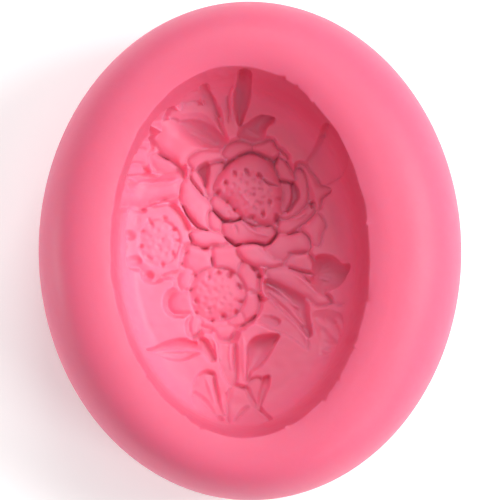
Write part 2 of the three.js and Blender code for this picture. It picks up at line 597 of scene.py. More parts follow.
    def pits(self) -> list[Pit]:
        """The hollows around the head."""
        return [
            Pit((0.6, 16.7), (0.45, 0.75), 1.4, 20.0), Pit((3.0, 17.0), (0.45, 0.8), 1.4, 25.0),
            Pit((5.4, 16.1), (0.55, 0.7), 1.6, 30.0), Pit((-1.2, 15.0), (0.5, 0.65), 1.6),
            Pit((-2.7, 13.3), (0.6, 0.6), 1.5), Pit((-0.8, 11.6), (0.4, 0.5), 0.8, 40.0),
            Pit((7.2, 10.9), (0.45, 0.5), 1.2), Pit((9.0, 11.4), (0.8, 0.4), 1.0),
            Pit((3.6, 8.2), (0.8, 0.45), 1.3), Pit((5.8, 8.6), (0.5, 0.65), 1.5),
            Pit((8.4, 7.5), (0.6, 1.2), 2.0), Pit((6.5, 6.4), (0.7, 0.35), 1.0),
            Pit((4.0, 12.5), (0.4, 0.4), 0.8), Pit((5.4, 10.6), (0.7, 0.5), 0.8),
            Pit((0.4, 9.8), (0.4, 0.4), 0.8), Pit((8.6, 19.0), (0.5, 0.8), 1.8),
            Pit((-1.8, 7.8), (0.7, 0.5), 1.2), Pit((0.6, 2.8), (0.8, 0.5), 1.2),
            Pit((-5.9, 2.5), (0.8, 0.4), 1.4, -10.0),
        ]


@dataclass(frozen=True)
class LowerBloom(Cluster):
    """The daisy-like bloom in the middle of the cavity, full of seeds.

    Attributes:
        seeds: the seeds in its head.
        strength: how deep it is pressed, as a share of its own depths.
        softness: how far its edges are rounded off.
        crease: how much deeper a petal's edge lies than its middle surface.
        crease_width: how far in from the edge that reaches.
    """

    seeds: SeedHead = SeedHead("lower_bloom_seeds", (-4.0, -6.4), 4.6, 34, 0.6, 0.22)
    strength: float = 0.85
    softness: float = 1.5
    crease: float = 0.5
    crease_width: float = 0.7

    def lobes(self) -> list[Lobe]:
        """The petals from the upper left clockwise, and then the head."""
        head = Lobe((
            (0.8, -4.0), (1.6, -6.4), (1.0, -8.8), (-0.6, -10.8), (-3.0, -11.6), (-5.8, -11.4),
            (-8.0, -9.8), (-8.8, -7.4), (-8.6, -4.6), (-7.0, -2.4), (-4.4, -1.6), (-1.4, -2.0),
        ), 3.4, 0.35, 0.8, form=Form.PILLOW)
        petals = [
            Lobe(((-9.4, 2.6), (-8.0, 3.1), (-6.0, 2.4), (-4.6, 2.0), (-4.4, 0.2), (-4.4, -1.8),
                  (-7.0, -2.6), (-9.4, -1.8), (-10.0, 0.4)), 3.2),
            Lobe(((-4.2, 2.4), (-2.0, 2.7), (0.5, 2.8), (0.8, 1.2), (1.8, 0.2), (2.6, -1.0), (0.6, -2.6),
                  (-2.0, -2.4), (-4.0, -1.8), (-4.3, 0.2)), 3.3),
            Lobe(((1.8, -0.4), (3.2, -1.2), (4.3, -2.8), (4.3, -5.0), (3.8, -7.0), (2.2, -6.6),
                  (1.2, -4.4), (0.6, -2.2)), 3.3),
            Lobe(((2.2, -6.4), (3.9, -7.0), (4.2, -9.0), (3.5, -10.8), (1.6, -12.0), (0.2, -10.6),
                  (1.2, -8.6)), 3.2),
            Lobe(((0.6, -10.4), (1.0, -12.6), (-0.8, -13.3), (-2.2, -12.9), (-2.6, -11.2),
                  (-0.8, -10.4)), 3.0),
            Lobe(((-2.4, -11.4), (-2.4, -13.4), (-4.2, -13.6), (-6.0, -13.1), (-7.4, -12.4), (-7.2, -10.8),
                  (-5.0, -11.0)), 2.9),
            Lobe(((-4.3, -13.2), (-3.9, -15.2), (-2.6, -15.5), (-1.4, -15.3), (-0.9, -13.2)),
                 2.7, 0.2, 0.6, (0.2, -0.2)),
            Lobe(((-7.2, -11.6), (-7.5, -13.0), (-8.0, -14.2), (-8.8, -14.5), (-9.3, -13.2), (-9.2, -11.8),
                  (-8.4, -10.6)), 2.7, 0.2, 0.6),
            Lobe(((-12.0, -6.2), (-13.0, -7.2), (-13.1, -8.8), (-12.3, -9.9), (-10.4, -10.2), (-8.4, -9.8),
                  (-8.0, -7.4), (-9.4, -5.9), (-10.9, -5.8)), 2.5, 0.5, 1.2, (-0.3, 0.0)),
            Lobe(((-9.6, -1.6), (-8.4, -2.0), (-7.6, -4.4), (-8.2, -6.0), (-10.4, -5.6), (-11.2, -4.0),
                  (-10.6, -2.4)), 2.9),
        ]
        pillow = {"form": Form.PILLOW, "lip": self.crease, "lip_width": self.crease_width}
        return [*(replace(petal, **pillow) for petal in petals), head]

    def lines(self) -> list[Line]:
        """The creases between petals."""
        return [
            Line(((-4.6, 0.6), (-4.4, -0.4), (-4.2, -1.2)), 0.4, 1.4),
            Line(((-10.2, -5.4), (-9.2, -5.6), (-8.2, -5.4)), 0.35, 1.0),
            Line(((0.6, -12.9), (2.2, -12.4), (3.6, -11.0)), 0.6, 1.6),
            Line(((3.1, -1.4), (3.8, -2.3)), 0.4, 1.2),
            Line(((2.4, -6.6), (3.9, -7.0)), 0.3, 0.6),
        ]

    def pits(self) -> list[Pit]:
        """The hollows around the head."""
        return [
            Pit((-8.1, -2.7), (0.7, 0.5), 1.3), Pit((-3.4, -2.5), (0.7, 0.5), 1.2),
            Pit((-1.1, -3.0), (0.55, 0.9), 1.8, -30.0), Pit((0.6, -5.3), (0.5, 0.95), 1.8, 30.0),
            Pit((0.7, -8.2), (0.6, 0.4), 1.5), Pit((-0.3, -10.2), (0.45, 0.6), 1.4),
            Pit((-2.7, -10.9), (0.65, 0.6), 1.6), Pit((-4.9, -11.7), (0.45, 0.45), 1.2),
            Pit((-7.8, -7.9), (0.45, 0.65), 1.2, 40.0), Pit((-8.0, -10.0), (0.5, 0.4), 0.8),
            Pit((4.7, -7.7), (0.6, 1.0), 2.6, 25.0), Pit((4.7, -3.4), (0.7, 0.5), 1.8),
            Pit((-5.2, -3.2), (0.5, 0.5), 0.8), Pit((-5.6, -9.4), (0.6, 0.4), 0.8),
            Pit((-9.4, 1.5), (0.3, 0.8), 1.0, -30.0),
        ]


@dataclass(frozen=True)
class SideBloom(Cluster):
    """The small bloom beside the long wall, on the left.

    Attributes:
        seeds: the seeds in its head.
        strength: how deep it is pressed, as a share of its own depths.
        softness: how far its edges are rounded off.
    """

    seeds: SeedHead = SeedHead("side_bloom_seeds", (-14.6, 3.8), 4.2, 26, 0.6, 0.15)
    strength: float = 0.62
    softness: float = 1.7

    def lobes(self) -> list[Lobe]:
        """The whole bloom, its head and the gap beside the lower bloom."""
        return [
            Lobe(((-20.6, 8.6), (-19.2, 10.2), (-17.2, 10.9), (-14.8, 10.6), (-12.6, 10.9), (-10.7, 9.6),
                  (-9.5, 7.6), (-8.8, 5.0), (-9.3, 2.6), (-10.2, 0.6), (-10.9, -1.2), (-13.2, -2.0),
                  (-15.4, -3.7), (-17.6, -3.4), (-18.4, -1.4), (-20.4, -0.8), (-20.9, 1.2), (-20.2, 3.2),
                  (-20.9, 5.0)), 2.1, 0.7, 1.5),
            Lobe(((-10.8, 5.6), (-11.0, 2.0), (-13.0, -0.4), (-16.0, -0.6), (-18.2, 1.6), (-18.4, 4.8),
                  (-16.8, 7.4), (-13.8, 8.0)), 2.4, 0.6, 1.6),
            Lobe(((-14.1, -2.8), (-12.4, -2.2), (-10.9, -1.8), (-10.3, -0.4), (-10.3, -2.0), (-11.6, -3.5),
                  (-12.2, -2.9)), 4.8, 0.0, 1.0, (0.0, 0.0), 6.0),
        ]

    def lines(self) -> list[Line]:
        """The creases between the small petals."""
        return [
            Line(((-14.5, 11.3), (-13.5, 11.9), (-12.2, 11.4), (-11.2, 11.0)), 0.5, 1.3),
            Line(((-16.6, 8.6), (-16.1, 7.6), (-15.6, 6.9)), 0.35, 1.1),
            Line(((-18.6, 7.4), (-18.4, 9.0)), 0.35, 0.5),
            Line(((-9.6, 3.2), (-10.9, 3.6)), 0.35, 0.6),
        ]

    def pits(self) -> list[Pit]:
        """The hollows between petals, the largest first."""
        return [
            Pit((-16.9, -2.6), (1.0, 0.9), 2.2), Pit((-19.2, 0.4), (1.1, 1.0), 1.6),
            Pit((-17.8, 10.1), (1.0, 0.6), 1.9), Pit((-19.6, 5.2), (0.55, 1.0), 2.0),
            Pit((-17.9, 6.0), (0.6, 0.35), 1.1), Pit((-18.1, 3.1), (0.45, 0.55), 1.2),
            Pit((-13.5, 8.4), (0.65, 0.5), 1.2), Pit((-11.7, 6.2), (0.7, 0.35), 1.0),
            Pit((-11.3, 4.0), (0.75, 0.4), 1.3), Pit((-12.1, 1.5), (0.45, 0.7), 1.2),
            Pit((-14.1, 4.4), (0.4, 0.4), 0.7), Pit((-14.8, 3.1), (0.5, 0.4), 0.7),
            Pit((-16.7, 0.8), (0.75, 0.4), 1.0, -20.0), Pit((-14.2, -0.6), (0.4, 0.75), 1.1),
            Pit((-10.5, -0.6), (0.5, 0.6), 1.4),
        ]


@dataclass(frozen=True)
class TopLeaves(Cluster):
    """The leaves that fan out above the large bloom, up to the opening's edge."""

    strength: float = 0.9

    def lobes(self) -> list[Lobe]:
        """The leaves from left to right."""
        return [
            Lobe(((-5.3, 33.5), (-5.0, 31.2), (-6.0, 30.1), (-8.2, 30.0), (-10.4, 30.8), (-11.2, 33.2),
                  (-9.4, 36.6), (-7.0, 36.8), (-5.8, 35.4)), 1.3, 0.7, 1.8),
            Lobe(((-0.6, 23.0), (-1.6, 25.5), (-2.5, 27.6), (-3.8, 29.3), (-6.0, 29.8), (-9.0, 29.6),
                  (-11.6, 29.0), (-11.2, 27.4), (-8.5, 26.6), (-6.0, 26.8), (-4.0, 26.4), (-2.6, 25.0),
                  (-1.2, 23.2)), 1.5, 0.4, 0.8),
            Lobe(((-7.2, 39.5), (-5.6, 39.5), (-4.8, 36.0), (-4.1, 33.5), (-3.2, 31.5), (-2.6, 29.6),
                  (-2.1, 27.8), (-2.9, 28.6), (-4.0, 29.8), (-4.9, 30.6), (-5.1, 32.5), (-5.6, 35.2)),
                 2.2, -0.3, 0.8, (0.1, 0.05)),
            Lobe(((-10.0, 25.9), (-8.4, 26.6), (-6.0, 26.8), (-4.0, 26.2), (-2.6, 25.0), (-1.0, 23.4),
                  (-0.4, 22.4), (-1.6, 21.3), (-4.3, 21.5), (-5.6, 21.9), (-6.5, 22.9), (-7.7, 24.1),
                  (-9.5, 25.5)), 4.6, -2.0, 1.9, (0.05, 0.15)),
            Lobe(((1.9, 25.9), (1.4, 28.0), (1.2, 30.5), (1.3, 34.0), (1.7, 38.0), (1.9, 46.0),
                  (4.5, 46.0), (4.3, 38.0), (4.1, 34.0), (3.8, 30.8), (3.1, 28.8), (2.5, 27.2)),
                 2.6, -1.0, 1.4, (-0.1, 0.0)),
            Lobe(((1.6, 24.0), (2.4, 25.5), (3.6, 26.1), (4.8, 26.8), (6.2, 27.2), (8.3, 26.7), (7.0, 25.8),
                  (6.4, 24.6), (6.3, 22.8), (4.5, 22.4), (2.6, 22.9)), 4.0, -1.5, 1.6, (0.1, 0.1)),
            Lobe(((14.6, 17.8), (16.2, 20.5), (19.6, 26.0), (24.0, 32.0), (30.0, 26.0), (25.0, 18.0),
                  (20.0, 14.4), (16.8, 13.4), (15.4, 15.2)), 1.2, -0.2, 1.0, (-0.05, 0.09)),
        ]

    def lines(self) -> list[Line]:
        """The raised ribs and the shallow furrows."""
        return [
            Line(((0.9, 38.0), (0.5, 34.0), (0.4, 30.5), (0.5, 27.0)), 0.5, -0.5),
            Line(((-0.5, 32.5), (-0.4, 29.5), (-0.3, 26.5)), 0.35, 0.6),
            Line(((-1.8, 30.5), (-1.3, 28.6), (-1.0, 26.6)), 0.35, -0.4),
            Line(((-2.2, 30.0), (-1.8, 28.0), (-1.4, 26.2)), 0.3, 0.5),
            Line(((-9.0, 28.2), (-5.6, 28.3), (-3.4, 27.2), (-1.8, 24.8)), 0.6, -0.3),
            Line(((-8.0, 27.4), (-5.0, 27.5), (-3.2, 26.4)), 0.4, 0.2),
            Line(((-8.6, 25.6), (-6.4, 24.9), (-4.4, 23.6), (-2.4, 22.6)), 0.5, -0.45),
            Line(((-5.2, 25.6), (-3.8, 24.6), (-2.2, 23.2)), 0.5, -0.35),
            Line(((3.2, 25.2), (4.6, 24.4), (5.4, 23.8)), 0.6, -0.3),
            Line(((-7.9, 29.9), (-6.6, 30.1), (-5.2, 29.8)), 0.35, 0.6),
        ]


@dataclass(frozen=True)
class LeftBlossoms(Cluster):
    """The faint petals and lumps along the upper left wall.

    Attributes:
        strength: how deep they are pressed, as a share of their own depths.
        softness: how far their edges are rounded off.
        crease: how much deeper a petal's edge lies than its middle surface.
    """

    strength: float = 0.9
    softness: float = 1.7
    crease: float = 0.45

    def lobes(self) -> list[Lobe]:
        """The petals from the top down."""
        petals = [
            Lobe(((-10.3, 26.6), (-9.4, 26.0), (-8.2, 24.5), (-6.3, 22.7), (-5.8, 21.7), (-7.6, 20.4),
                  (-8.5, 19.4), (-10.2, 18.5), (-11.2, 19.8), (-12.8, 21.0), (-13.5, 22.0), (-13.4, 23.6),
                  (-12.9, 25.2), (-11.8, 26.4)), 1.3, 0.3, 1.0, (0.04, 0.06)),
            Lobe(((-14.4, 20.0), (-12.6, 20.0), (-10.8, 18.9), (-10.2, 17.9), (-12.4, 17.4),
                  (-14.4, 18.0)), 2.6, 0.3),
            Lobe(((-14.8, 25.0), (-14.3, 22.2), (-15.4, 20.8), (-17.9, 21.4), (-20.4, 23.6), (-20.0, 26.6),
                  (-17.0, 27.2)), 1.9),
            Lobe(((-15.8, 21.0), (-15.4, 19.2), (-16.8, 18.2), (-19.6, 18.8), (-22.4, 20.4), (-22.2, 22.8),
                  (-18.4, 21.6)), 1.9),
            Lobe(((-16.6, 18.4), (-16.4, 17.0), (-18.0, 16.2), (-21.4, 16.6), (-24.4, 17.6), (-24.0, 19.8),
                  (-19.4, 18.8)), 1.8),
            Lobe(((-12.4, 26.8), (-14.8, 27.2), (-17.8, 28.4), (-18.4, 31.4), (-15.8, 33.4), (-12.6, 32.6),
                  (-11.4, 29.8)), 1.7),
            Lobe(((-9.8, 17.6), (-12.0, 17.2), (-15.0, 16.4), (-18.0, 16.0), (-22.4, 16.6), (-25.4, 14.4),
                  (-24.2, 11.0), (-18.4, 10.8), (-14.3, 12.1), (-12.0, 12.3), (-10.2, 12.6), (-9.6, 14.5),
                  (-9.4, 16.5)), 1.8, 0.5, 1.4, (0.04, 0.0)),
        ]
        return [replace(petal, form=Form.PILLOW, lip=self.crease) for petal in petals]

    def lines(self) -> list[Line]:
        """The creases and the raised band."""
        return [
            Line(((-16.4, 23.4), (-14.4, 23.1), (-14.0, 21.8), (-13.4, 20.8), (-12.2, 20.0)), 0.55, 1.1),
            Line(((-20.4, 16.4), (-18.4, 16.3), (-16.4, 16.6)), 0.4, 0.6),
            Line(((-16.5, 18.2), (-15.7, 17.4)), 0.4, 0.7),
            Line(((-17.4, 15.2), (-14.5, 15.4), (-12.0, 15.4), (-10.0, 16.2)), 0.6, -0.45),
            Line(((-20.6, 15.2), (-20.0, 14.0), (-18.4, 13.9)), 0.5, -0.4),
        ]

    def pits(self) -> list[Pit]:
        """The one deep hollow."""
        return [Pit((-18.6, 15.1), (0.8, 0.7), 1.4)]


@dataclass(frozen=True)
class RightLeaves(Cluster):
    """The leaves to the right of the lower bloom."""

    strength: float = 0.8

    def lobes(self) -> list[Lobe]:
        """The leaves from the top down."""
        return [
            Lobe(((9.6, -0.8), (10.0, 0.0), (11.2, 0.6), (13.2, 0.7), (14.2, 0.1), (15.2, -1.4), (15.2, -3.0),
                  (13.8, -3.1), (11.9, -2.6), (9.8, -1.9)), 2.2, 0.9, 0.9, form=Form.PILLOW),
            Lobe(((16.1, -0.4), (17.6, -0.4), (18.6, -0.7), (19.4, -1.5), (20.2, -2.4), (22.0, -2.7),
                  (20.8, -4.6), (19.7, -5.7), (18.7, -6.3), (17.4, -6.7), (16.8, -7.5), (15.6, -6.8),
                  (14.8, -5.4), (14.8, -4.0), (15.0, -1.2)), 5.2, -2.4, 2.4, (0.12, 0.0)),
            Lobe(((5.9, -2.9), (6.5, -2.3), (8.1, -2.0), (9.8, -2.1), (11.7, -3.0), (13.0, -4.0),
                  (14.5, -5.6), (16.0, -7.4), (17.6, -8.2), (17.9, -9.3), (16.6, -9.7), (15.2, -9.6),
                  (13.7, -8.2), (12.0, -7.3), (9.9, -6.1), (8.0, -4.9), (6.5, -4.4)),
                 1.7, 0.6, 0.9, (-0.06, 0.0), form=Form.PILLOW),
            Lobe(((6.2, -4.3), (8.0, -5.1), (9.9, -6.2), (11.8, -7.3), (12.9, -8.4), (13.3, -9.9),
                  (13.3, -12.2), (13.7, -15.5), (12.4, -14.4), (11.3, -13.0), (9.7, -11.4), (8.2, -10.0),
                  (6.9, -8.2), (5.6, -6.6), (5.4, -5.0)), 4.9, -1.3, 1.3, (0.05, 0.05)),
            Lobe(((4.2, -8.2), (6.8, -8.4), (9.6, -11.5), (11.9, -14.0), (13.2, -16.4), (13.3, -18.4),
                  (11.5, -16.8), (9.0, -15.0), (6.4, -14.0), (4.6, -12.8), (3.6, -10.6)),
                 1.4, 0.0, 1.0, (-0.06, 0.04)),
            Lobe(((3.0, -11.2), (5.0, -11.3), (7.0, -11.7), (8.0, -12.6), (7.2, -13.4), (5.5, -13.0),
                  (3.6, -12.4)), 2.2, 0.0, 0.8, (0.22, -0.1)),
            Lobe(((14.4, -11.5), (17.0, -10.7), (19.6, -11.8), (20.8, -14.5), (20.2, -17.5), (18.0, -19.6),
                  (15.6, -19.8), (15.6, -17.0), (14.9, -14.0)), 1.0, -0.8, 2.0, (0.04, 0.0)),
        ]

    def lines(self) -> list[Line]:
        """The creases, the midribs and the veins."""
        fan = [
            Line(((15.4, -3.6), (17.0, -3.4 + 0.8 * step), (18.6, -3.3 + 1.15 * step)), 0.3, 0.28)
            for step in (-2, -1, 0, 1, 2)
        ]
        scroll = [
            Line(((15.2, -12.4), (17.0, -14.2), (18.4, -16.6)), 0.8, -0.4),
            Line(((16.4, -11.6), (17.4, -12.9), (18.8, -13.4)), 0.7, 0.4),
            Line(((18.4, -12.6), (19.4, -14.2), (19.6, -16.2)), 0.7, -0.4),
            Line(((16.2, -16.8), (17.4, -17.4), (18.8, -17.6)), 0.6, 0.3),
            Line(((15.8, -18.6), (17.2, -19.2)), 0.4, -0.4),
        ]
        return [
            Line(((10.2, -2.1), (11.9, -2.7), (13.4, -3.2), (15.1, -3.7)), 0.45, 1.2),
            Line(((15.9, -4.3), (17.6, -4.7)), 0.35, -0.5),
            Line(((11.4, -3.6), (13.4, -5.2), (15.4, -7.4)), 0.5, -0.35),
            Line(((6.0, -5.1), (7.9, -6.3), (9.6, -7.9), (10.6, -9.0), (11.9, -9.9)), 0.5, -1.1),
            Line(((6.4, -6.6), (8.8, -8.6), (10.9, -10.9), (12.6, -13.4)), 0.8, -1.3),
            Line(((6.2, -8.3), (9.5, -11.6), (11.9, -14.2), (12.9, -16.4), (13.0, -18.2)), 0.4, -0.5),
            Line(((18.4, -9.5), (19.6, -9.9), (20.8, -10.0)), 0.4, 0.5),
            *fan, *scroll,
        ]


@dataclass(frozen=True)
class BottomLeaves(Cluster):
    """The stem, the leaves beside it and the ones at the lower end."""

    strength: float = 0.7

    def lobes(self) -> list[Lobe]:
        """The leaves from the right anticlockwise, then the stem."""
        return [
            Lobe(((7.4, -15.4), (5.5, -15.4), (3.8, -15.5), (2.7, -16.0), (1.9, -17.2), (1.6, -19.3),
                  (1.4, -21.5), (1.2, -23.8), (1.9, -22.1), (3.6, -21.0), (4.9, -19.6), (5.9, -18.0),
                  (6.7, -16.7)), 4.8, -1.8, 1.9, (0.1, 0.1)),
            Lobe(((4.3, -23.6), (5.4, -23.2), (5.3, -24.9), (4.6, -26.2), (3.9, -27.6), (3.1, -29.0),
                  (3.3, -27.0), (3.7, -25.4)), 2.9, -1.0, 1.0, (-0.2, 0.0)),
            Lobe(((1.2, -24.6), (2.2, -23.4), (3.8, -23.4), (3.6, -25.4), (3.2, -27.4), (2.9, -28.6),
                  (1.8, -26.8)), 1.3, 0.4, 0.8),
            Lobe(((-0.1, -24.8), (1.2, -25.3), (1.8, -26.8), (2.8, -28.4), (3.6, -29.6), (5.6, -34.0),
                  (2.0, -36.0), (-2.4, -34.0), (-2.8, -30.0), (-2.6, -26.6), (-1.6, -24.6)), 1.4, 0.6, 1.0),
            Lobe(((-9.1, -23.8), (-8.0, -22.2), (-6.5, -21.7), (-5.2, -22.1), (-4.9, -23.8), (-4.5, -27.0),
                  (-3.6, -30.4), (-5.0, -29.8), (-6.4, -28.0), (-7.8, -26.4), (-9.2, -25.2)), 1.1, 0.4, 1.4),
            Lobe(((-9.2, -25.4), (-7.8, -26.6), (-6.4, -28.2), (-5.0, -30.0), (-4.0, -32.5), (-6.2, -32.6),
                  (-8.2, -31.0), (-9.6, -28.6)), 1.3, 0.2, 0.8),
            Lobe(((-18.3, -17.4), (-16.7, -16.9), (-15.3, -16.2), (-13.7, -15.6), (-11.6, -15.3),
                  (-9.4, -15.5), (-7.6, -16.4), (-7.0, -17.6), (-8.6, -18.3), (-10.3, -19.1),
                  (-12.1, -19.3), (-13.7, -18.9), (-15.1, -18.2), (-16.8, -17.5)),
                 3.2, -1.6, 1.7, (0.03, 0.1)),
            Lobe(((-7.6, -15.4), (-6.4, -15.8), (-5.6, -17.4), (-4.7, -19.2), (-5.6, -19.6), (-6.6, -18.6),
                  (-7.6, -17.2)), 2.2, 0.2, 0.6),
            Lobe(((-3.4, -15.0), (-1.2, -15.2), (-0.6, -18.0), (-0.6, -21.0), (-1.0, -24.0), (-2.2, -24.6),
                  (-3.4, -22.0), (-4.2, -18.4), (-4.0, -16.0)), 1.7, 0.2, 0.6),
        ]

    def lines(self) -> list[Line]:
        """The creases, the midrib and the raised stems."""
        return [
            Line(((-0.1, -24.8), (1.1, -25.3), (1.7, -26.8), (2.7, -28.3), (3.5, -29.4)), 0.5, 0.6),
            Line(((1.3, -28.4), (-0.1, -29.3), (-1.6, -31.2)), 0.4, 0.8),
            Line(((2.1, -28.9), (3.4, -30.2), (4.6, -32.0)), 0.5, -0.5),
            Line(((-9.2, -25.3), (-7.6, -26.7), (-6.4, -28.0), (-5.3, -29.4)), 0.7, 0.8),
            Line(((-3.2, -26.0), (-3.2, -28.0), (-3.1, -30.3), (-2.8, -31.8)), 0.6, 0.7),
            Line(((-5.1, -23.4), (-4.9, -24.8), (-4.4, -27.2)), 0.5, 0.6),
            Line(((-8.2, -22.5), (-6.6, -21.8), (-5.2, -22.2)), 0.6, 0.5),
            Line(((-17.0, -17.3), (-13.6, -17.3), (-10.0, -17.4), (-7.6, -17.6)), 0.4, -0.7),
            Line(((-15.6, -18.1), (-12.2, -18.9), (-9.2, -18.3)), 0.5, 0.6),
            Line(((-5.0, -13.8), (-4.4, -16.4), (-3.8, -19.4)), 0.7, -0.8),
            Line(((0.7, -15.6), (0.8, -19.0), (0.8, -23.6)), 0.7, -0.5),
            Line(((-0.6, -16.0), (-1.0, -19.0), (-0.9, -22.6)), 0.5, 0.4),
            Line(((-1.6, -15.8), (-1.9, -18.6), (-1.7, -21.6)), 0.35, -0.5),
            Line(((-6.7, -23.0), (-6.0, -25.0), (-5.2, -27.6)), 0.6, -0.4),
        ]


@dataclass(frozen=True)
class Bouquet:
    """The whole relief on the cavity's floor.

    Attributes:
        blend: how softly two neighbouring shapes melt together, in millimetres.
        great: the large bloom.
        lower: the bloom in the middle.
        side: the small bloom.
        leaves: everything around them.
        swing: how far its depth varies, as a share.
        ripple: how deep the faint ripples all over it are.
    """

    blend: float = 0.25
    great: GreatBloom = GreatBloom()
    lower: LowerBloom = LowerBloom()
    side: SideBloom = SideBloom()
    leaves: tuple[Cluster, ...] = (TopLeaves(), LeftBlossoms(), RightLeaves(), BottomLeaves())
    swing: float = 0.02
    ripple: float = 0.035

    def depth(self, x: Array, y: Array) -> Array:
        """How deep the bouquet presses into the rubber.

        Args:
            x: places across the cavity's plan.
            y: places along it.

        Returns:
            The depth at each place.
        """
        total = np.zeros_like(x)
        clusters = (*self.leaves, self.side, self.lower, self.great)
        for cluster in clusters:
            pillows = [lobe for lobe in cluster.lobes() if lobe.form is Form.PILLOW]
            hollows = [lobe for lobe in cluster.lobes() if lobe.form is Form.HOLLOW]
            for lobe in pillows:
                total = lobe.press(total, x, y, self.blend, cluster.strength, cluster.softness)
            for lobe in pillows:
                total = lobe.swell(total, x, y, cluster.strength, cluster.softness)
            for lobe in hollows:
                total = lobe.press(total, x, y, self.blend, cluster.strength, cluster.softness)
        for cluster in clusters:
            for mark in (*cluster.lines(), *cluster.pits()):
                total = total + cluster.strength * mark.extra(x, y)
        swung = total * (1.0 + self.swing * hills(x, y, 7.0, 11))
        return swung + self.ripple * hills(x, y, 2.6, 12)

    def seed_heads(self) -> list[SeedHead]:
        """The seeds of each bloom."""
        return [self.great.seeds, self.lower.seeds, self.side.seeds]


# --- The rubber ----------------------------------------------------------------------------


@dataclass(frozen=True)
class Cavity:
    """The space for the soap. Reaches are along its long axis, and heights are above the base.

    Attributes:
        length: the opening's length.
        width: the opening's width.
        centre: where its middle is, from the middle of the block.
        turn: how far it is turned, in degrees.
        lip_z: the height of the opening's edge.
        floor_z: the plain floor's height in the middle.
        fillet_z: its height where the fillet starts.
        fillet_reach: where that is.
        foot_z: the height of the wall's foot, at the end of the fillet.
        foot_reach: where that is.
    """

    length: float = 69.0
    width: float = 48.1
    centre: Plan = (-2.5, -1.1)
    turn: float = 2.5
    lip_z: float = 33.1
    floor_z: float = 12.6
    fillet_z: float = 13.5
    fillet_reach: float = 26.8
    foot_z: float = 20.0
    foot_reach: float = 32.4

    @property
    def squeeze(self) -> float:
        """The opening's width as a share of its length."""
        return self.width / self.length

    def profile(self) -> tuple[Array, Array, Array]:
        """The section along the long axis.

        Returns:
            The distance travelled over the surface, the reach and the height, point by point.
        """
        floor = np.linspace(0.0, self.fillet_reach, 40)
        bend = np.linspace(-0.5 * math.pi, 0.0, 33)[1:]
        wall = np.linspace(0.0, 1.0, 33)[1:]
        reach = np.concatenate([
            floor,
            self.fillet_reach + (self.foot_reach - self.fillet_reach) * np.cos(bend),
            self.foot_reach + (0.5 * self.length - self.foot_reach) * wall,
        ])
        height = np.concatenate([
            self.floor_z + (self.fillet_z - self.floor_z) * (floor / self.fillet_reach) ** 2,
            self.foot_z + (self.foot_z - self.fillet_z) * np.sin(bend),
            self.foot_z + (self.lip_z - self.foot_z) * wall,
        ])
        travel = np.concatenate([[0.0], np.cumsum(np.hypot(np.diff(reach), np.diff(height)))])
        return travel, reach, height

    def place(self, x: Array, y: Array, deep: Array) -> Array:
        """Where places of the unrolled plan lie on the surface, pressed into the rubber.

        Args:
            x: places across the plan, in which the wall lies flat around the floor.
            y: places along it.
            deep: how far each is pressed in.

        Returns:
            Their positions in the block's own axes, in millimetres.
        """
        travel, reach, height = self.profile()
        far = np.hypot(x / self.squeeze, y)
        angle = np.arctan2(y, x / self.squeeze)
        out = np.interp(far, travel, reach)
        slope_out = np.interp(far, travel, np.gradient(reach, travel))
        slope_up = np.interp(far, travel, np.gradient(height, travel))
        into = np.stack([
            slope_up * np.cos(angle) / self.squeeze, slope_up * np.sin(angle), -slope_out,
        ], axis=-1)
        into /= np.linalg.norm(into, axis=-1, keepdims=True)
        spot = np.stack([
            self.squeeze * out * np.cos(angle), out * np.sin(angle), np.interp(far, travel, height),
        ], axis=-1)
        return self.turned(spot + into * deep[..., None])

    def turned(self, spot: Array) -> Array:
        """Positions in the cavity's own axes, as positions in the block's.

        Args:
            spot: positions about the cavity's middle, in millimetres.

        Returns:
            The same positions about the block's middle.
        """
        cos, sin = math.cos(math.radians(self.turn)), math.sin(math.radians(self.turn))
        turn = np.array([[cos, sin, 0.0], [-sin, cos, 0.0], [0.0, 0.0, 1.0]])
        return spot @ turn + np.array([self.centre[0], self.centre[1], 0.0])


@dataclass(frozen=True)
class Tear:
    """A small fault in the opening's edge, where the soap was pulled out.

    Attributes:
        angle: where it is around the opening, in degrees.
        spread: how many degrees it covers.
        out: how far the edge moves out; negative where a flap of rubber hangs in.
    """

    angle: float
    spread: float
    out: float

    def share(self, angle: Array) -> Array:
        """How much of the fault there is at each angle: abrupt at one end, fading at the other."""
        off = (np.degrees(angle) - self.angle) % 360.0
        return np.where(off < self.spread, ease(off / 0.6) * (1.0 - ease(off / self.spread)), 0.0)


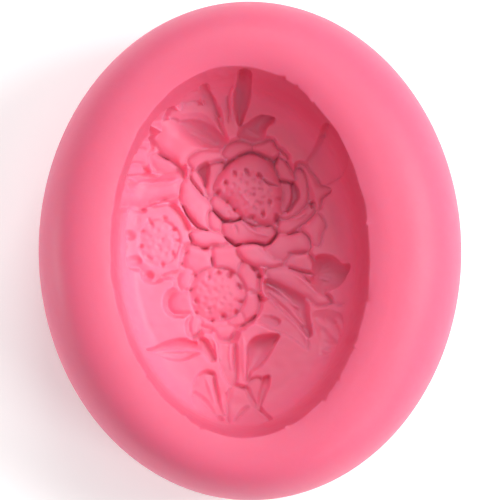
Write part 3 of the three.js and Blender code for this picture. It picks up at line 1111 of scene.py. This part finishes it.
@dataclass
class MouldSkin:
    """The rubber's whole surface as one closed mesh.

    Attributes:
        half_x: half the block's width.
        half_y: half its length.
        height: its height.
        cavity: the space for the soap.
        bouquet: the relief on its floor.
        cells: how many cells the floor has across and along.
        wall_rings: how many rings of cells the wall has.
        crown_off: how far from the opening the rim is highest.
        round_rings: how many rings of cells the rounding has.
        round_z: the height where the rim's rounding ends.
        round_power: how square the rounding is; 2 is an ellipse.
        foot_reach: how far the base's rounding runs in.
        foot_height: how far it runs up.
        foot_rings: how many rings of cells it has.
        plain_top: the top share of the wall over which the relief fades out.
        torn_top: the top share of the wall that the faults reach down.
        waver: how far the wall strays, in millimetres.
        halvings: the rings of the rounding at which the cells get twice as wide.
        tears: the faults in the opening's edge.
    """

    half_x: float
    half_y: float
    height: float
    cavity: Cavity = field(default_factory=Cavity)
    bouquet: Bouquet = field(default_factory=Bouquet)
    cells: tuple[int, int] = (200, 280)
    wall_rings: int = 18
    crown_off: float = 4.3
    round_rings: int = 20
    round_z: float = 20.0
    round_power: float = 2.25
    foot_reach: float = 6.0
    foot_height: float = 10.0
    foot_rings: int = 10
    plain_top: float = 0.14
    torn_top: float = 0.16
    waver: float = 0.1
    halvings: tuple[int, int] = (3, 6)
    tears: tuple[Tear, ...] = (
        Tear(66.0, 5.0, 0.35), Tear(60.0, 3.0, 0.3), Tear(52.0, 5.0, -0.3), Tear(6.0, 3.0, -0.35),
        Tear(-18.0, 4.0, 0.3), Tear(-33.0, 3.0, -0.35), Tear(-46.0, 3.0, 0.3), Tear(-55.0, 4.0, 0.4),
        Tear(-74.0, 3.0, -0.35), Tear(-112.0, 3.0, 0.3), Tear(-120.0, 4.0, -0.3), Tear(-140.0, 3.0, 0.3),
    )

    def __post_init__(self) -> None:
        """Start with no vertices and no faces."""
        self.spots: list[Array] = []
        self.faces: list[Array] = []
        self.count = 0

    def add(self, spots: Array) -> Array:
        """Add vertices.

        Args:
            spots: their positions, in millimetres.

        Returns:
            Their numbers, in the same shape.
        """
        flat = spots.reshape(-1, 3)
        numbers = np.arange(self.count, self.count + len(flat)).reshape(spots.shape[:-1])
        self.spots.append(flat)
        self.count += len(flat)
        return numbers

    def join_rings(self, inner: Array, outer: Array) -> None:
        """Fill between two rings that go round the same way.

        Args:
            inner: the inner ring's vertices.
            outer: the outer ring's, as many or half as many.
        """
        if len(inner) == len(outer):
            self.faces.append(np.stack([inner, outer, np.roll(outer, -1), np.roll(inner, -1)], axis=1))
            return
        first, middle, last = inner[0::2], inner[1::2], np.roll(inner, -2)[0::2]
        here, there = outer, np.roll(outer, -1)
        self.faces.append(np.stack([first, here, middle], axis=1))
        self.faces.append(np.stack([middle, here, there], axis=1))
        self.faces.append(np.stack([middle, there, last], axis=1))

    def floor(self) -> tuple[Array, Array]:
        """The floor and the lower fillet, as a grid stretched to the cavity's oval.

        Returns:
            The numbers of its edge's vertices, anticlockwise, and their angles.
        """
        across, along = np.meshgrid(
            np.linspace(-1.0, 1.0, self.cells[0] + 1), np.linspace(-1.0, 1.0, self.cells[1] + 1),
            indexing="ij",
        )
        edge = self.grid_travel()
        x = edge * self.cavity.squeeze * across * np.sqrt(1.0 - 0.5 * along**2)
        y = edge * along * np.sqrt(1.0 - 0.5 * across**2)
        numbers = self.add(self.cavity.place(x, y, self.bouquet.depth(x, y)))
        self.faces.append(np.stack([
            numbers[:-1, :-1], numbers[1:, :-1], numbers[1:, 1:], numbers[:-1, 1:],
        ], axis=-1).reshape(-1, 4))
        loop = np.concatenate([
            numbers[-1, :-1], numbers[::-1, -1][:-1], numbers[0, ::-1][:-1], numbers[:-1, 0],
        ])
        flat_x, flat_y = x.reshape(-1)[loop], y.reshape(-1)[loop]
        return loop, np.arctan2(flat_y, flat_x / self.cavity.squeeze)

    def grid_travel(self) -> float:
        """How far over the surface the grid reaches: to the wall's foot."""
        travel, reach, _ = self.cavity.profile()
        return float(np.interp(self.cavity.foot_reach, reach, travel))

    def wall(self, loop: Array, angle: Array) -> tuple[Array, Array, Array]:
        """The wall, from the grid's edge up to the opening's edge.

        Args:
            loop: the grid's edge.
            angle: the angle of each of its vertices.

        Returns:
            The numbers of the opening's edge, its places with no faults, and what the faults add.
        """
        start, end = self.grid_travel(), float(self.cavity.profile()[0][-1])
        share = (np.arange(1, self.wall_rings + 1) / self.wall_rings)[:, None] + 0.0 * angle
        far = start + (end - start) * share
        x, y = self.cavity.squeeze * far * np.cos(angle), far * np.sin(angle)
        fade = 1.0 - ease((share - (1.0 - self.plain_top)) / self.plain_top)
        near_lip = ease((share - (1.0 - self.torn_top)) / self.torn_top)
        waver = self.waver * hills(x, y, 9.0, 21) * ease(share * 3.0)
        torn = sum(tear.out * tear.share(angle) for tear in self.tears)
        deep = self.bouquet.depth(x, y) * fade + waver + torn * near_lip
        spots = self.cavity.place(x, y, deep)
        for ring_spots in spots:
            ring = self.add(ring_spots)
            self.join_rings(loop, ring)
            loop = ring
        plain = self.cavity.place(x[-1], y[-1], np.zeros_like(angle))
        return loop, plain, spots[-1] - plain

    def outline(self, angle: Array, scale_in: float = 0.0) -> Array:
        """The block's oval, moved in by a distance along Y and in proportion along X.

        Args:
            angle: the angle of each of its vertices.
            scale_in: the distance.

        Returns:
            Their plan positions.
        """
        share = 1.0 - scale_in / self.half_y
        return np.stack([self.half_x * share * np.cos(angle), self.half_y * share * np.sin(angle)], axis=1)

    def rim(self, loop: Array, lip: Array, fault: Array) -> tuple[Array, Array]:
        """The crowned rim, from the opening's edge to the widest line.

        Args:
            loop: the opening's edge.
            lip: the places of its vertices, with no faults.
            fault: how far each is off its place.

        Returns:
            The numbers of the widest line's vertices and their angles on the block's oval.
        """
        angle = np.arctan2(lip[:, 1] / self.half_y, lip[:, 0] / self.half_x)
        outside = self.outline(angle)
        run = np.linalg.norm(outside - lip[:, :2], axis=1)
        rise = self.height - self.cavity.lip_z
        for off in (0.12, 0.3, 0.6, 1.0, 1.6, 2.4, 3.3, self.crown_off):
            height = self.height - rise * (1.0 - off / self.crown_off) ** 2
            spots = np.column_stack([
                lip[:, :2] + (outside - lip[:, :2]) * (off / run)[:, None], np.full(len(run), height),
            ])
            spots += fault * max(1.0 - off, 0.0) ** 2
            ring = self.add(spots)
            self.join_rings(loop, ring)
            loop = ring
        for step in range(1, self.round_rings + 1):
            if step in self.halvings:
                keep = slice(None, None, 2)
                lip, outside, run, angle = lip[keep], outside[keep], run[keep], angle[keep]
            turn = 0.5 * math.pi * step / self.round_rings
            out = math.sin(turn) ** (2.0 / self.round_power)
            up = max(math.cos(turn), 0.0) ** (2.0 / self.round_power)
            off = self.crown_off + (run - self.crown_off) * out
            spots = np.column_stack([
                lip[:, :2] + (outside - lip[:, :2]) * (off / run)[:, None],
                np.full(len(run), self.round_z + (self.height - self.round_z) * up),
            ])
            ring = self.add(spots)
            self.join_rings(loop, ring)
            loop = ring
        return loop, angle

    def outside(self, loop: Array, angle: Array) -> None:
        """The side, the base's rounding and the flat base.

        Args:
            loop: the widest line.
            angle: the angle of each of its vertices.
        """
        side = [
            (0.0, self.round_z + (self.foot_height - self.round_z) * share)
            for share in (0.34, 0.67, 1.0)
        ]
        turns = [0.5 * math.pi * step / self.foot_rings for step in range(1, self.foot_rings + 1)]
        foot = [
            (self.foot_reach * (1.0 - math.cos(turn)), self.foot_height * (1.0 - math.sin(turn)))
            for turn in turns
        ]
        base = [(self.half_y * share, 0.0) for share in (0.2, 0.35, 0.55, 0.75, 0.92)]
        for inwards, z in side + foot + base:
            plan = self.outline(angle, inwards)
            ring = self.add(np.column_stack([plan, np.full(len(plan), z)]))
            self.join_rings(loop, ring)
            loop = ring
        middle = self.add(np.zeros((1, 3)))[0]
        self.faces.append(np.stack([loop, np.full(len(loop), middle), np.roll(loop, -1)], axis=1))

    def build(self, material: bpy.types.Material) -> bpy.types.Object:
        """Make the mesh.

        Args:
            material: the rubber's finish.

        Returns:
            The mould as one object at the origin.
        """
        loop, angle = self.floor()
        loop, lip, fault = self.wall(loop, angle)
        loop, around = self.rim(loop, lip, fault)
        self.outside(loop, around)
        spots = np.concatenate(self.spots) * MM
        mesh = bpy.data.meshes.new("mould_skin")
        mesh.from_pydata(spots.tolist(), [], [face for faces in self.faces for face in faces.tolist()])
        mesh.validate()
        mesh.materials.append(material)
        mesh.shade_smooth()
        piece = bpy.data.objects.new("mould_skin", mesh)
        bpy.context.scene.collection.objects.link(piece)
        return piece


# --- Seeds, by Geometry Nodes --------------------------------------------------------------


class SeedTree:
    """A node tree that presses a spiral of round seeds into a surface.

    Attributes:
        GOLDEN_ANGLE: the turn from one seed to the next, in radians.
        STRAY: how far a seed may lie off the spiral along each axis, in metres.
        STRAY_SEED: the seed of that chance.
        FLOOR_TOP: the height under which seeds are pressed, in metres.
        BASE_TOP: the height over which they are, so that the base stays flat.
    """

    GOLDEN_ANGLE: ClassVar[float] = math.pi * (3.0 - math.sqrt(5.0))
    STRAY: ClassVar[float] = 0.00035
    STRAY_SEED: ClassVar[int] = 5
    FLOOR_TOP: ClassVar[float] = 0.016
    BASE_TOP: ClassVar[float] = 0.003

    def __init__(self, material: bpy.types.Material) -> None:
        """Build the tree with its named inputs.

        Args:
            material: the finish that the tree sets at its end.
        """
        self.material = material
        self.tree = bpy.data.node_groups.new("seed_spiral", "GeometryNodeTree")
        face = self.tree.interface
        face.new_socket("Geometry", in_out="INPUT", socket_type="NodeSocketGeometry")
        face.new_socket("Middle", in_out="INPUT", socket_type="NodeSocketVector")
        face.new_socket("Spread", in_out="INPUT", socket_type="NodeSocketFloat")
        face.new_socket("Seeds", in_out="INPUT", socket_type="NodeSocketInt")
        face.new_socket("Seed Radius", in_out="INPUT", socket_type="NodeSocketFloat")
        face.new_socket("Seed Depth", in_out="INPUT", socket_type="NodeSocketFloat")
        face.new_socket("Geometry", in_out="OUTPUT", socket_type="NodeSocketGeometry")
        self._wire()

    def _node(self, kind: str, **settings: object) -> bpy.types.Node:
        """Add a node.

        Args:
            kind: its type.
            settings: the properties to set on it.

        Returns:
            The node.
        """
        node = self.tree.nodes.new(kind)
        for name, value in settings.items():
            setattr(node, name, value)
        return node

    def _math(self, operation: str, *values: object) -> bpy.types.NodeSocket:
        """Add a Math node.

        Args:
            operation: what it works out.
            values: its inputs, each a socket or a number.

        Returns:
            Its output.
        """
        node = self._node("ShaderNodeMath", operation=operation)
        for socket, value in zip(node.inputs, values):
            if isinstance(value, bpy.types.NodeSocket):
                self.tree.links.new(value, socket)
            else:
                socket.default_value = value
        return node.outputs[0]

    def _wire(self) -> None:
        """Join the nodes: the spiral of points, the distance to it, and the press."""
        link = self.tree.links.new
        given = self._node("NodeGroupInput").outputs
        index = self._node("GeometryNodeInputIndex").outputs[0]
        share = self._math("DIVIDE", self._math("ADD", index, 0.5), given["Seeds"])
        far = self._math("MULTIPLY", given["Spread"], self._math("SQRT", share))
        turn = self._math("MULTIPLY", index, self.GOLDEN_ANGLE)
        spot = self._node("ShaderNodeCombineXYZ")
        link(self._math("MULTIPLY", far, self._math("COSINE", turn)), spot.inputs["X"])
        link(self._math("MULTIPLY", far, self._math("SINE", turn)), spot.inputs["Y"])
        stray = self._node("FunctionNodeRandomValue", data_type="FLOAT_VECTOR")
        stray.inputs["Min"].default_value = (-self.STRAY, -self.STRAY, 0.0)
        stray.inputs["Max"].default_value = (self.STRAY, self.STRAY, 0.0)
        stray.inputs["Seed"].default_value = self.STRAY_SEED
        strayed = self._node("ShaderNodeVectorMath", operation="ADD")
        link(spot.outputs[0], strayed.inputs[0])
        link(stray.outputs["Value"], strayed.inputs[1])
        moved = self._node("ShaderNodeVectorMath", operation="ADD")
        link(strayed.outputs[0], moved.inputs[0])
        link(given["Middle"], moved.inputs[1])
        points = self._node("GeometryNodePoints")
        link(given["Seeds"], points.inputs["Count"])
        link(moved.outputs[0], points.inputs["Position"])
        here = self._node("ShaderNodeSeparateXYZ")
        link(self._node("GeometryNodeInputPosition").outputs[0], here.inputs[0])
        flat = self._node("ShaderNodeCombineXYZ")
        link(here.outputs["X"], flat.inputs["X"])
        link(here.outputs["Y"], flat.inputs["Y"])
        nearest = self._node("GeometryNodeProximity", target_element="POINTS")
        link(points.outputs[0], nearest.inputs["Geometry"])
        link(flat.outputs[0], nearest.inputs["Sample Position"])
        off = self._math("DIVIDE", nearest.outputs["Distance"], given["Seed Radius"])
        bowl = self._math("SUBTRACT", 1.0, self._math("MULTIPLY", off, off))
        press = self._math("MULTIPLY", self._math("MAXIMUM", bowl, 0.0), given["Seed Depth"])
        inside = self._math("LESS_THAN", here.outputs["Z"], self.FLOOR_TOP)
        down = self._node("ShaderNodeCombineXYZ")
        link(self._math("MULTIPLY", self._math("MULTIPLY", press, inside), -1.0), down.inputs["Z"])
        above_base = self._math("GREATER_THAN", here.outputs["Z"], self.BASE_TOP)
        moving = self._node("GeometryNodeSetPosition")
        link(given["Geometry"], moving.inputs["Geometry"])
        link(above_base, moving.inputs["Selection"])
        link(down.outputs[0], moving.inputs["Offset"])
        real = self._node("GeometryNodeRealizeInstances")
        link(moving.outputs[0], real.inputs[0])
        dressed = self._node("GeometryNodeSetMaterial")
        dressed.inputs["Material"].default_value = self.material
        link(real.outputs[0], dressed.inputs["Geometry"])
        link(dressed.outputs[0], self._node("NodeGroupOutput").inputs[0])

    def press(self, piece: bpy.types.Object, head: SeedHead, cavity: Cavity) -> None:
        """Press one bloom's seeds into a piece and leave it a plain mesh.

        Args:
            piece: the mould.
            head: where the seeds sit.
            cavity: the space that the plan belongs to.
        """
        middle = cavity.turned(np.array([[head.centre[0], head.centre[1], 0.0]]))[0] * MM
        values = {
            "Middle": tuple(float(number) for number in middle),
            "Spread": head.radius * MM,
            "Seeds": head.seeds,
            "Seed Radius": head.seed_radius * MM,
            "Seed Depth": head.seed_deep * MM,
        }
        modifier = piece.modifiers.new(head.name, "NODES")
        modifier.node_group = self.tree
        for item in self.tree.interface.items_tree:
            if item.in_out == "INPUT" and item.name in values:
                modifier[item.identifier] = values[item.name]
        graph = bpy.context.evaluated_depsgraph_get()
        pressed = bpy.data.meshes.new_from_object(piece.evaluated_get(graph))
        piece.modifiers.clear()
        old, piece.data = piece.data, pressed
        name = old.name
        bpy.data.meshes.remove(old)
        pressed.name = name


# --- Finishes ------------------------------------------------------------------------------


@dataclass(frozen=True)
class SiliconeFinish:
    """Soft matte pink rubber that lets a little light through, with a painted sheen low in the cavity.

    Attributes:
        colour: the rubber's colour.
        painted_sheen: a paler colour painted low in the cavity, a painted sheen that stands in for white
            light reflected off the floor and relief and lifts the shade there.
        painted_sheen_span: the heights from which the painted sheen starts and at which it is whole, in
            metres; the walls and rim above keep the plain colour.
        sheen_stretch: what X and Y are multiplied by to make the cavity's oval round.
        sheen_edge: how far out, so stretched, the painted sheen ends and starts to fade, in metres.
        blotch: how much the painted sheen's share comes and goes in random blotches.
        through: how much of the light goes through the skin, from 0 to 1.
        ior: the rubber's index of refraction.
        roughness: how rough its skin is, at least and at most.
        glow: how far light of each colour travels in it, as shares of depth.
        glow_depth: that distance for red, in millimetres.
    """

    colour: tuple[float, float, float, float] = (0.85, 0.14, 0.252, 1.0)
    # Painted sheen: a paler colour low in the cavity that stands in for light reflected off the floor and
    # relief.
    painted_sheen: tuple[float, float, float, float] = (0.94, 0.25, 0.395, 1.0)
    painted_sheen_span: tuple[float, float] = (0.026, 0.016)
    sheen_stretch: tuple[float, float, float] = (1.25, 0.9, 0.0)
    sheen_edge: tuple[float, float] = (0.038, 0.034)
    blotch: float = 0.1
    through: float = 0.8
    ior: float = 1.45
    roughness: tuple[float, float] = (0.42, 0.52)
    glow: tuple[float, float, float] = (1.0, 0.22, 0.3)
    glow_depth: float = 2.0

    def material(self) -> bpy.types.Material:
        """Make the material.

        Returns:
            The finish, ready to put on the mould.
        """
        material = bpy.data.materials.new("pink_silicone")
        material.use_nodes = True
        tree = material.node_tree
        shader = tree.nodes["Principled BSDF"]
        shader.inputs["Subsurface Weight"].default_value = self.through
        shader.inputs["Subsurface Radius"].default_value = self.glow
        shader.inputs["Subsurface Scale"].default_value = self.glow_depth * MM
        shader.inputs["IOR"].default_value = self.ior
        place = tree.nodes.new("ShaderNodeTexCoord").outputs["Object"]
        height = tree.nodes.new("ShaderNodeSeparateXYZ")
        tree.links.new(place, height.inputs["Vector"])
        # Painted sheen mask: whole low in the cavity, fading out up the walls and gone on the rim, cut off
        # outside the cavity's stretched oval.
        inside = tree.nodes.new("ShaderNodeMapRange")
        inside.inputs["From Min"].default_value, inside.inputs["From Max"].default_value = self.painted_sheen_span
        tree.links.new(height.outputs["Z"], inside.inputs["Value"])
        outer = tree.nodes.new("ShaderNodeVectorMath")
        outer.operation = "LENGTH"
        off_centre = tree.nodes.new("ShaderNodeVectorMath")
        off_centre.operation = "MULTIPLY"
        off_centre.inputs[1].default_value = self.sheen_stretch
        tree.links.new(place, off_centre.inputs[0])
        tree.links.new(off_centre.outputs[0], outer.inputs[0])
        sheen_oval = tree.nodes.new("ShaderNodeMapRange")
        sheen_oval.inputs["From Min"].default_value, sheen_oval.inputs["From Max"].default_value = self.sheen_edge
        tree.links.new(outer.outputs["Value"], sheen_oval.inputs["Value"])
        share = tree.nodes.new("ShaderNodeMath")
        share.operation = "MULTIPLY"
        tree.links.new(inside.outputs["Result"], share.inputs[0])
        tree.links.new(sheen_oval.outputs["Result"], share.inputs[1])
        blotch = tree.nodes.new("ShaderNodeMath")
        blotch.operation = "MULTIPLY_ADD"
        blotch.inputs[1].default_value = self.blotch
        tree.links.new(self._noise(tree, place, 55.0, 3.0), blotch.inputs[0])
        tree.links.new(share.outputs[0], blotch.inputs[2])
        # Mix the rubber's colour towards the painted sheen colour by that share, with random blotches.
        sheen_mix = tree.nodes.new("ShaderNodeMix")
        sheen_mix.data_type = "RGBA"
        sheen_mix.inputs["A"].default_value = self.colour
        sheen_mix.inputs["B"].default_value = self.painted_sheen
        tree.links.new(blotch.outputs[0], sheen_mix.inputs["Factor"])
        tree.links.new(sheen_mix.outputs["Result"], shader.inputs["Base Color"])
        dull = tree.nodes.new("ShaderNodeMapRange")
        dull.inputs["To Min"].default_value, dull.inputs["To Max"].default_value = self.roughness
        tree.links.new(self._noise(tree, place, 420.0, 2.0), dull.inputs["Value"])
        tree.links.new(dull.outputs["Result"], shader.inputs["Roughness"])
        tree.links.new(self._grain(tree, place), shader.inputs["Normal"])
        return material

    @staticmethod
    def _noise(
        tree: bpy.types.NodeTree, place: bpy.types.NodeSocket, scale: float, detail: float
    ) -> bpy.types.NodeSocket:
        """Add a noise texture.

        Args:
            tree: the material's tree.
            place: the coordinates to read.
            scale: how fine it is.
            detail: how many finer layers it has.

        Returns:
            Its factor.
        """
        noise = tree.nodes.new("ShaderNodeTexNoise")
        noise.inputs["Scale"].default_value = scale
        noise.inputs["Detail"].default_value = detail
        tree.links.new(place, noise.inputs["Vector"])
        return noise.outputs["Fac"]

    def _grain(self, tree: bpy.types.NodeTree, place: bpy.types.NodeSocket) -> bpy.types.NodeSocket:
        """The skin's small unevenness: faint ripples, then a fine grain.

        Args:
            tree: the material's tree.
            place: the coordinates to read.

        Returns:
            The bent normal.
        """
        normal = None
        for scale, detail, strength, distance in ((260.0, 2.0, 0.25, 0.0003), (2600.0, 3.0, 0.2, 0.00006)):
            bump = tree.nodes.new("ShaderNodeBump")
            bump.inputs["Strength"].default_value = strength
            bump.inputs["Distance"].default_value = distance
            tree.links.new(self._noise(tree, place, scale, detail), bump.inputs["Height"])
            if normal is not None:
                tree.links.new(normal, bump.inputs["Normal"])
            normal = bump.outputs["Normal"]
        return normal


# --- The studio ----------------------------------------------------------------------------


@dataclass(frozen=True)
class SoftLight:
    """One large soft lamp.

    Attributes:
        name: what it is called.
        azimuth: the direction that it shines from, in degrees from +X.
        elevation: how high it stands, in degrees.
        distance: how far it is from the mould, in metres.
        side: the length of its side, in metres.
        power: its power, in watts.
    """

    name: str
    azimuth: float
    elevation: float
    distance: float
    side: float
    power: float

    def build(self, target: Vector) -> bpy.types.Object:
        """Make the lamp.

        Args:
            target: where it is aimed.

        Returns:
            The lamp.
        """
        lamp = bpy.data.lights.new(self.name, "AREA")
        lamp.energy = self.power
        lamp.size = self.side
        piece = bpy.data.objects.new(self.name, lamp)
        bpy.context.scene.collection.objects.link(piece)
        turn, lift = math.radians(self.azimuth), math.radians(self.elevation)
        way = Vector((math.cos(turn) * math.cos(lift), math.sin(turn) * math.cos(lift), math.sin(lift)))
        piece.location = target + way * self.distance
        piece.rotation_euler = way.to_track_quat("Z", "Y").to_euler()
        return piece


@dataclass(frozen=True)
class Studio:
    """The pale floor, the soft lamps and the camera.

    Attributes:
        floor_side: the floor's side, in metres.
        floor_glow: the strength of the light that comes through the floor.
        lamps: the lamps.
        sky: the strength of the light from all round.
        tilt_x: how far the camera stands towards -X, in degrees off straight above.
        tilt_y: how far it stands towards -Y.
        distance: from the rim to the camera, in metres.
        lens: its focal length, in millimetres.
        aim: where it looks, in metres.
    """

    floor_side: float = 8.0
    floor_glow: float = 0.32
    lamps: tuple[SoftLight, ...] = (
        SoftLight("right_window", 9.0, 43.5, 0.9, 0.3, 4.7),
        SoftLight("low_window", -36.0, 32.0, 0.9, 0.3, 1.9),
        SoftLight("top_window", 78.0, 50.0, 0.9, 0.4, 2.5),
        SoftLight("ceiling_light", 60.0, 86.0, 0.9, 0.5, 0.9),
        SoftLight("left_card", 180.0, 1.4, 2.4, 0.2, 14.0),
    )
    sky: float = 0.28
    tilt_x: float = 2.9
    tilt_y: float = 4.3
    distance: float = 0.4
    lens: float = 155.7
    aim: tuple[float, float, float] = (0.0, 0.00015, 0.018)

    def build(self) -> None:
        """Make everything and choose the camera."""
        target = Vector(self.aim)
        for lamp in self.lamps:
            lamp.build(target)
        self._world()
        self._floor()
        self._camera(target)
        bpy.context.scene.view_settings.view_transform = "Standard"

    def _world(self) -> None:
        """Faint even light from all round."""
        world = bpy.data.worlds.new("studio")
        world.use_nodes = True
        world.node_tree.nodes["Background"].inputs["Color"].default_value = (1.0, 1.0, 1.0, 1.0)
        world.node_tree.nodes["Background"].inputs["Strength"].default_value = self.sky
        bpy.context.scene.world = world

    def _floor(self) -> None:
        """A pale table top."""
        half = 0.5 * self.floor_side
        mesh = bpy.data.meshes.new("table_top")
        mesh.from_pydata([(-half, -half, 0.0), (half, -half, 0.0), (half, half, 0.0), (-half, half, 0.0)],
                         [], [(0, 1, 2, 3)])
        material = bpy.data.materials.new("pale_board")
        material.use_nodes = True
        shader = material.node_tree.nodes["Principled BSDF"]
        shader.inputs["Base Color"].default_value = (0.9, 0.9, 0.9, 1.0)
        shader.inputs["Roughness"].default_value = 0.9
        shader.inputs["Emission Color"].default_value = (1.0, 1.0, 1.0, 1.0)
        shader.inputs["Emission Strength"].default_value = self.floor_glow
        mesh.materials.append(material)
        floor = bpy.data.objects.new("table_top", mesh)
        bpy.context.scene.collection.objects.link(floor)

    def _camera(self, target: Vector) -> None:
        """A long lens almost straight above, with +Y up in the picture.

        Args:
            target: where it looks.
        """
        camera = bpy.data.cameras.new("camera")
        camera.lens = self.lens
        camera.clip_end = 50.0
        piece = bpy.data.objects.new("camera", camera)
        bpy.context.scene.collection.objects.link(piece)
        lean_x, lean_y = math.tan(math.radians(self.tilt_x)), math.tan(math.radians(self.tilt_y))
        back = Vector((-lean_x, -lean_y, 1.0)).normalized()
        rim_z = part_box(NODE)[1][2] - MM
        right = Vector((0.0, 1.0, 0.0)).cross(back).normalized()
        up = back.cross(right)
        place = target + back * (self.distance + (rim_z - target.z) / back.z)
        turn = Matrix((right, up, back)).transposed().to_4x4()
        piece.matrix_world = Matrix.Translation(place) @ turn
        bpy.context.scene.camera = piece


def main() -> None:
    """Build the mould and the studio in order."""
    low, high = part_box(NODE)
    skin = MouldSkin(
        half_x=0.5 * (high[0] - low[0]) / MM, half_y=0.5 * (high[1] - low[1]) / MM, height=high[2] / MM
    )
    silicone = SiliconeFinish().material()
    mould = skin.build(silicone)
    seeds = SeedTree(silicone)
    for head in skin.bouquet.seed_heads():
        seeds.press(mould, head, skin.cavity)
    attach(mould, BODY)
    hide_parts(NODE)
    log.info("%s: %d faces", mould.name, len(mould.data.polygons))
    Studio().build()
    log.info("studio: lamps, table top and camera")


if __name__ == "__main__":
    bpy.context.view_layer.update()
    main()
